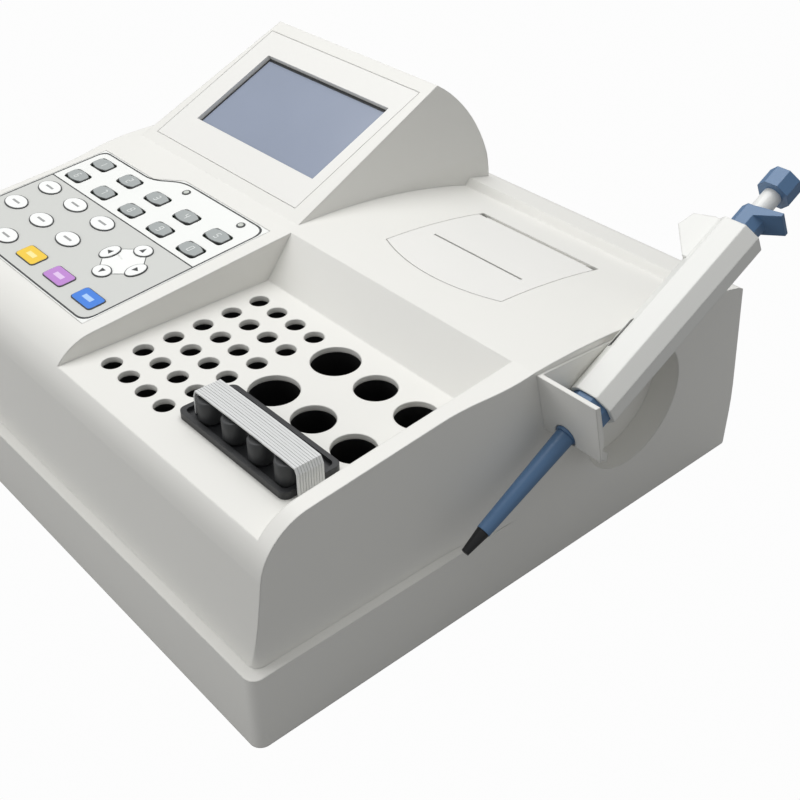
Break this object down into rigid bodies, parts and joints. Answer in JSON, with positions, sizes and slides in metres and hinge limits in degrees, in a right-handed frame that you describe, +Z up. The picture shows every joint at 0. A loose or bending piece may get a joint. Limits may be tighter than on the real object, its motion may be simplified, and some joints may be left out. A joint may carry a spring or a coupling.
{
  "type": "coagulation analyzer",
  "caption": "Bench coagulation analyzer with a sloping keypad, raised display hood, sunken sample deck, printer door and a pipette held in an ear.",
  "frame": {"origin": "middle of the whole outline, with the pipette ear, on the bench plane", "axes": "+X to the right, +Y to the back, +Z up"},
  "size_m": [0.398, 0.3464, 0.198],
  "materials": {
    "housing_white": "fine textured",
    "base_grey": "dark painted",
    "foot_rubber": "matt",
    "screw_steel": "plain",
    "bezel_white": "fine textured",
    "window_clear": "clear",
    "lcd_grey": "smooth",
    "overlay_film": "satin film",
    "circuit_green": "circuit board",
    "light_green": "clear",
    "block_metal": "anodised",
    "channel_black": "satin",
    "strip_clear": "clear",
    "frame_grey": "plain",
    "platen_rubber": "matt",
    "paper": "thermal paper",
    "supply_metal": "plain",
    "inlet_black": "plain",
    "key_grey": "satin",
    "key_white": "satin",
    "key_yellow": "satin",
    "key_purple": "satin",
    "key_blue": "satin",
    "pipette_grey": "satin",
    "pipette_pale": "satin",
    "pipette_blue": "satin",
    "counter_dark": "smooth"
  },
  "bodies": {
    "housing": {"main_housing": "housing_white", "base_plate": "base_grey", "rubber_feet": "foot_rubber", "base_screws": "screw_steel", "display_bezel": "bezel_white", "display_window": "window_clear", "lcd_module": "lcd_grey", "keypad_overlay": "overlay_film", "keypad_board": "circuit_green", "status_leds": "light_green", "cuvette_block": "block_metal", "reagent_block": "block_metal", "measuring_block": "block_metal", "channel_tray": "channel_black", "channel_cap_1": "channel_black", "channel_cap_2": "channel_black", "channel_cap_3": "channel_black", "channel_cap_4": "channel_black", "printer_frame": "frame_grey", "main_board": "circuit_green", "power_supply": "supply_metal", "power_inlet": "inlet_black"},
    "strips": {"cuvette_strips": "strip_clear"},
    "door": {"printer_door": "housing_white"},
    "platen": {"platen_roller": "platen_rubber"},
    "roll": {"paper_roll": "paper"},
    "rocker": {"power_switch": "inlet_black"},
    "pipette": {"pipette_handle": "pipette_grey", "pipette_collar": "pipette_blue", "pipette_shaft": "pipette_pale", "pipette_nozzle": "pipette_pale", "pipette_counter": "counter_dark"},
    "ejector": {"pipette_ejector": "pipette_blue"},
    "stem": {"pipette_stem": "pipette_pale"},
    "knob": {"pipette_knob": "pipette_blue"},
    "number key 1": {"number_key_1": "key_grey"},
    "number key 2": {"number_key_2": "key_grey"},
    "number key 3": {"number_key_3": "key_grey"},
    "number key 4": {"number_key_4": "key_grey"},
    "number key 5": {"number_key_5": "key_grey"},
    "number key 6": {"number_key_6": "key_grey"},
    "number key 7": {"number_key_7": "key_grey"},
    "number key 8": {"number_key_8": "key_grey"},
    "number key 9": {"number_key_9": "key_grey"},
    "number key 0": {"number_key_0": "key_grey"},
    "function key 1": {"function_key_1": "key_white"},
    "function key 2": {"function_key_2": "key_white"},
    "function key 3": {"function_key_3": "key_white"},
    "function key 4": {"function_key_4": "key_white"},
    "function key 5": {"function_key_5": "key_white"},
    "function key 6": {"function_key_6": "key_white"},
    "function key 7": {"function_key_7": "key_white"},
    "function key 8": {"function_key_8": "key_white"},
    "yellow key": {"yellow_key": "key_yellow"},
    "purple key": {"purple_key": "key_purple"},
    "blue key": {"blue_key": "key_blue"},
    "arrow left key": {"arrow_left_key": "key_white"},
    "arrow right key": {"arrow_right_key": "key_white"},
    "arrow up key": {"arrow_up_key": "key_white"},
    "arrow down key": {"arrow_down_key": "key_white"}
  },
  "joints": [
    {"name": "strips_lift", "type": "slide", "parent": "housing", "child": "strips", "axis": [0, 0, 1], "range_m": [0, 0.05]},
    {"name": "door_hinge", "type": "hinge", "parent": "housing", "child": "door", "pos_m": [0.06405, 0.0981, 0.12761], "axis": [-1, 0, 0], "range_deg": [0, 80]},
    {"name": "roll_turn", "type": "hinge", "parent": "housing", "child": "roll", "pos_m": [0.064, 0.074, 0.09161], "axis": [1, 0, 0], "continuous": true},
    {"name": "platen_turn", "type": "hinge", "parent": "housing", "child": "platen", "pos_m": [0.064, 0.051, 0.12644], "axis": [1, 0, 0], "continuous": true},
    {"name": "rocker_tilt", "type": "hinge", "parent": "housing", "child": "rocker", "pos_m": [-0.115, 0.16379, 0.04208], "axis": [1, 0, 0], "range_deg": [0, 14]},
    {"name": "pipette_lift", "type": "slide", "parent": "housing", "child": "pipette", "axis": [0, 0.878, 0.4787], "range_m": [0, 0.12]},
    {"name": "ejector_press", "type": "slide", "parent": "pipette", "child": "ejector", "axis": [0, -0.878, -0.4787], "range_m": [0, 0.006], "stiffness_N_per_m": 400, "springref_m": -0.003},
    {"name": "plunger_press", "type": "slide", "parent": "pipette", "child": "stem", "axis": [0, -0.878, -0.4787], "range_m": [0, 0.011], "stiffness_N_per_m": 300, "springref_m": -0.004},
    {"name": "volume_turn", "type": "hinge", "parent": "stem", "child": "knob", "pos_m": [0.1771, 0.14581, 0.18523], "axis": [0, 0.878, 0.4787], "continuous": true},
    {"name": "number_key_1_press", "type": "slide", "parent": "housing", "child": "number key 1", "axis": [0, 0.0941, -0.9956], "range_m": [0, 0.0005], "stiffness_N_per_m": 800, "springref_m": -0.0005},
    {"name": "number_key_2_press", "type": "slide", "parent": "housing", "child": "number key 2", "axis": [0, 0.0941, -0.9956], "range_m": [0, 0.0005], "stiffness_N_per_m": 800, "springref_m": -0.0005},
    {"name": "number_key_3_press", "type": "slide", "parent": "housing", "child": "number key 3", "axis": [0, 0.0941, -0.9956], "range_m": [0, 0.0005], "stiffness_N_per_m": 800, "springref_m": -0.0005},
    {"name": "number_key_4_press", "type": "slide", "parent": "housing", "child": "number key 4", "axis": [0, 0.0941, -0.9956], "range_m": [0, 0.0005], "stiffness_N_per_m": 800, "springref_m": -0.0005},
    {"name": "number_key_5_press", "type": "slide", "parent": "housing", "child": "number key 5", "axis": [0, 0.0941, -0.9956], "range_m": [0, 0.0005], "stiffness_N_per_m": 800, "springref_m": -0.0005},
    {"name": "number_key_6_press", "type": "slide", "parent": "housing", "child": "number key 6", "axis": [0, 0.0941, -0.9956], "range_m": [0, 0.0005], "stiffness_N_per_m": 800, "springref_m": -0.0005},
    {"name": "number_key_7_press", "type": "slide", "parent": "housing", "child": "number key 7", "axis": [0, 0.0941, -0.9956], "range_m": [0, 0.0005], "stiffness_N_per_m": 800, "springref_m": -0.0005},
    {"name": "number_key_8_press", "type": "slide", "parent": "housing", "child": "number key 8", "axis": [0, 0.0941, -0.9956], "range_m": [0, 0.0005], "stiffness_N_per_m": 800, "springref_m": -0.0005},
    {"name": "number_key_9_press", "type": "slide", "parent": "housing", "child": "number key 9", "axis": [0, 0.0941, -0.9956], "range_m": [0, 0.0005], "stiffness_N_per_m": 800, "springref_m": -0.0005},
    {"name": "number_key_0_press", "type": "slide", "parent": "housing", "child": "number key 0", "axis": [0, 0.0941, -0.9956], "range_m": [0, 0.0005], "stiffness_N_per_m": 800, "springref_m": -0.0005},
    {"name": "function_key_1_press", "type": "slide", "parent": "housing", "child": "function key 1", "axis": [0, 0.0941, -0.9956], "range_m": [0, 0.0005], "stiffness_N_per_m": 800, "springref_m": -0.0005},
    {"name": "function_key_2_press", "type": "slide", "parent": "housing", "child": "function key 2", "axis": [0, 0.0941, -0.9956], "range_m": [0, 0.0005], "stiffness_N_per_m": 800, "springref_m": -0.0005},
    {"name": "function_key_3_press", "type": "slide", "parent": "housing", "child": "function key 3", "axis": [0, 0.0941, -0.9956], "range_m": [0, 0.0005], "stiffness_N_per_m": 800, "springref_m": -0.0005},
    {"name": "function_key_4_press", "type": "slide", "parent": "housing", "child": "function key 4", "axis": [0, 0.0941, -0.9956], "range_m": [0, 0.0005], "stiffness_N_per_m": 800, "springref_m": -0.0005},
    {"name": "function_key_5_press", "type": "slide", "parent": "housing", "child": "function key 5", "axis": [0, 0.0941, -0.9956], "range_m": [0, 0.0005], "stiffness_N_per_m": 800, "springref_m": -0.0005},
    {"name": "function_key_6_press", "type": "slide", "parent": "housing", "child": "function key 6", "axis": [0, 0.0941, -0.9956], "range_m": [0, 0.0005], "stiffness_N_per_m": 800, "springref_m": -0.0005},
    {"name": "function_key_7_press", "type": "slide", "parent": "housing", "child": "function key 7", "axis": [0, 0.0941, -0.9956], "range_m": [0, 0.0005], "stiffness_N_per_m": 800, "springref_m": -0.0005},
    {"name": "function_key_8_press", "type": "slide", "parent": "housing", "child": "function key 8", "axis": [0, 0.0941, -0.9956], "range_m": [0, 0.0005], "stiffness_N_per_m": 800, "springref_m": -0.0005},
    {"name": "yellow_key_press", "type": "slide", "parent": "housing", "child": "yellow key", "axis": [0, 0.0941, -0.9956], "range_m": [0, 0.0005], "stiffness_N_per_m": 800, "springref_m": -0.0005},
    {"name": "purple_key_press", "type": "slide", "parent": "housing", "child": "purple key", "axis": [0, 0.0941, -0.9956], "range_m": [0, 0.0005], "stiffness_N_per_m": 800, "springref_m": -0.0005},
    {"name": "blue_key_press", "type": "slide", "parent": "housing", "child": "blue key", "axis": [0, 0.0941, -0.9956], "range_m": [0, 0.0005], "stiffness_N_per_m": 800, "springref_m": -0.0005},
    {"name": "arrow_left_key_press", "type": "slide", "parent": "housing", "child": "arrow left key", "axis": [0, 0.0941, -0.9956], "range_m": [0, 0.0005], "stiffness_N_per_m": 800, "springref_m": -0.0005},
    {"name": "arrow_right_key_press", "type": "slide", "parent": "housing", "child": "arrow right key", "axis": [0, 0.0941, -0.9956], "range_m": [0, 0.0005], "stiffness_N_per_m": 800, "springref_m": -0.0005},
    {"name": "arrow_up_key_press", "type": "slide", "parent": "housing", "child": "arrow up key", "axis": [0, 0.0941, -0.9956], "range_m": [0, 0.0005], "stiffness_N_per_m": 800, "springref_m": -0.0005},
    {"name": "arrow_down_key_press", "type": "slide", "parent": "housing", "child": "arrow down key", "axis": [0, 0.0941, -0.9956], "range_m": [0, 0.0005], "stiffness_N_per_m": 800, "springref_m": -0.0005}
  ],
  "couplings": [
    {"joint": "platen_turn", "follows": "roll_turn", "ratio": -3.8333}
  ]
}
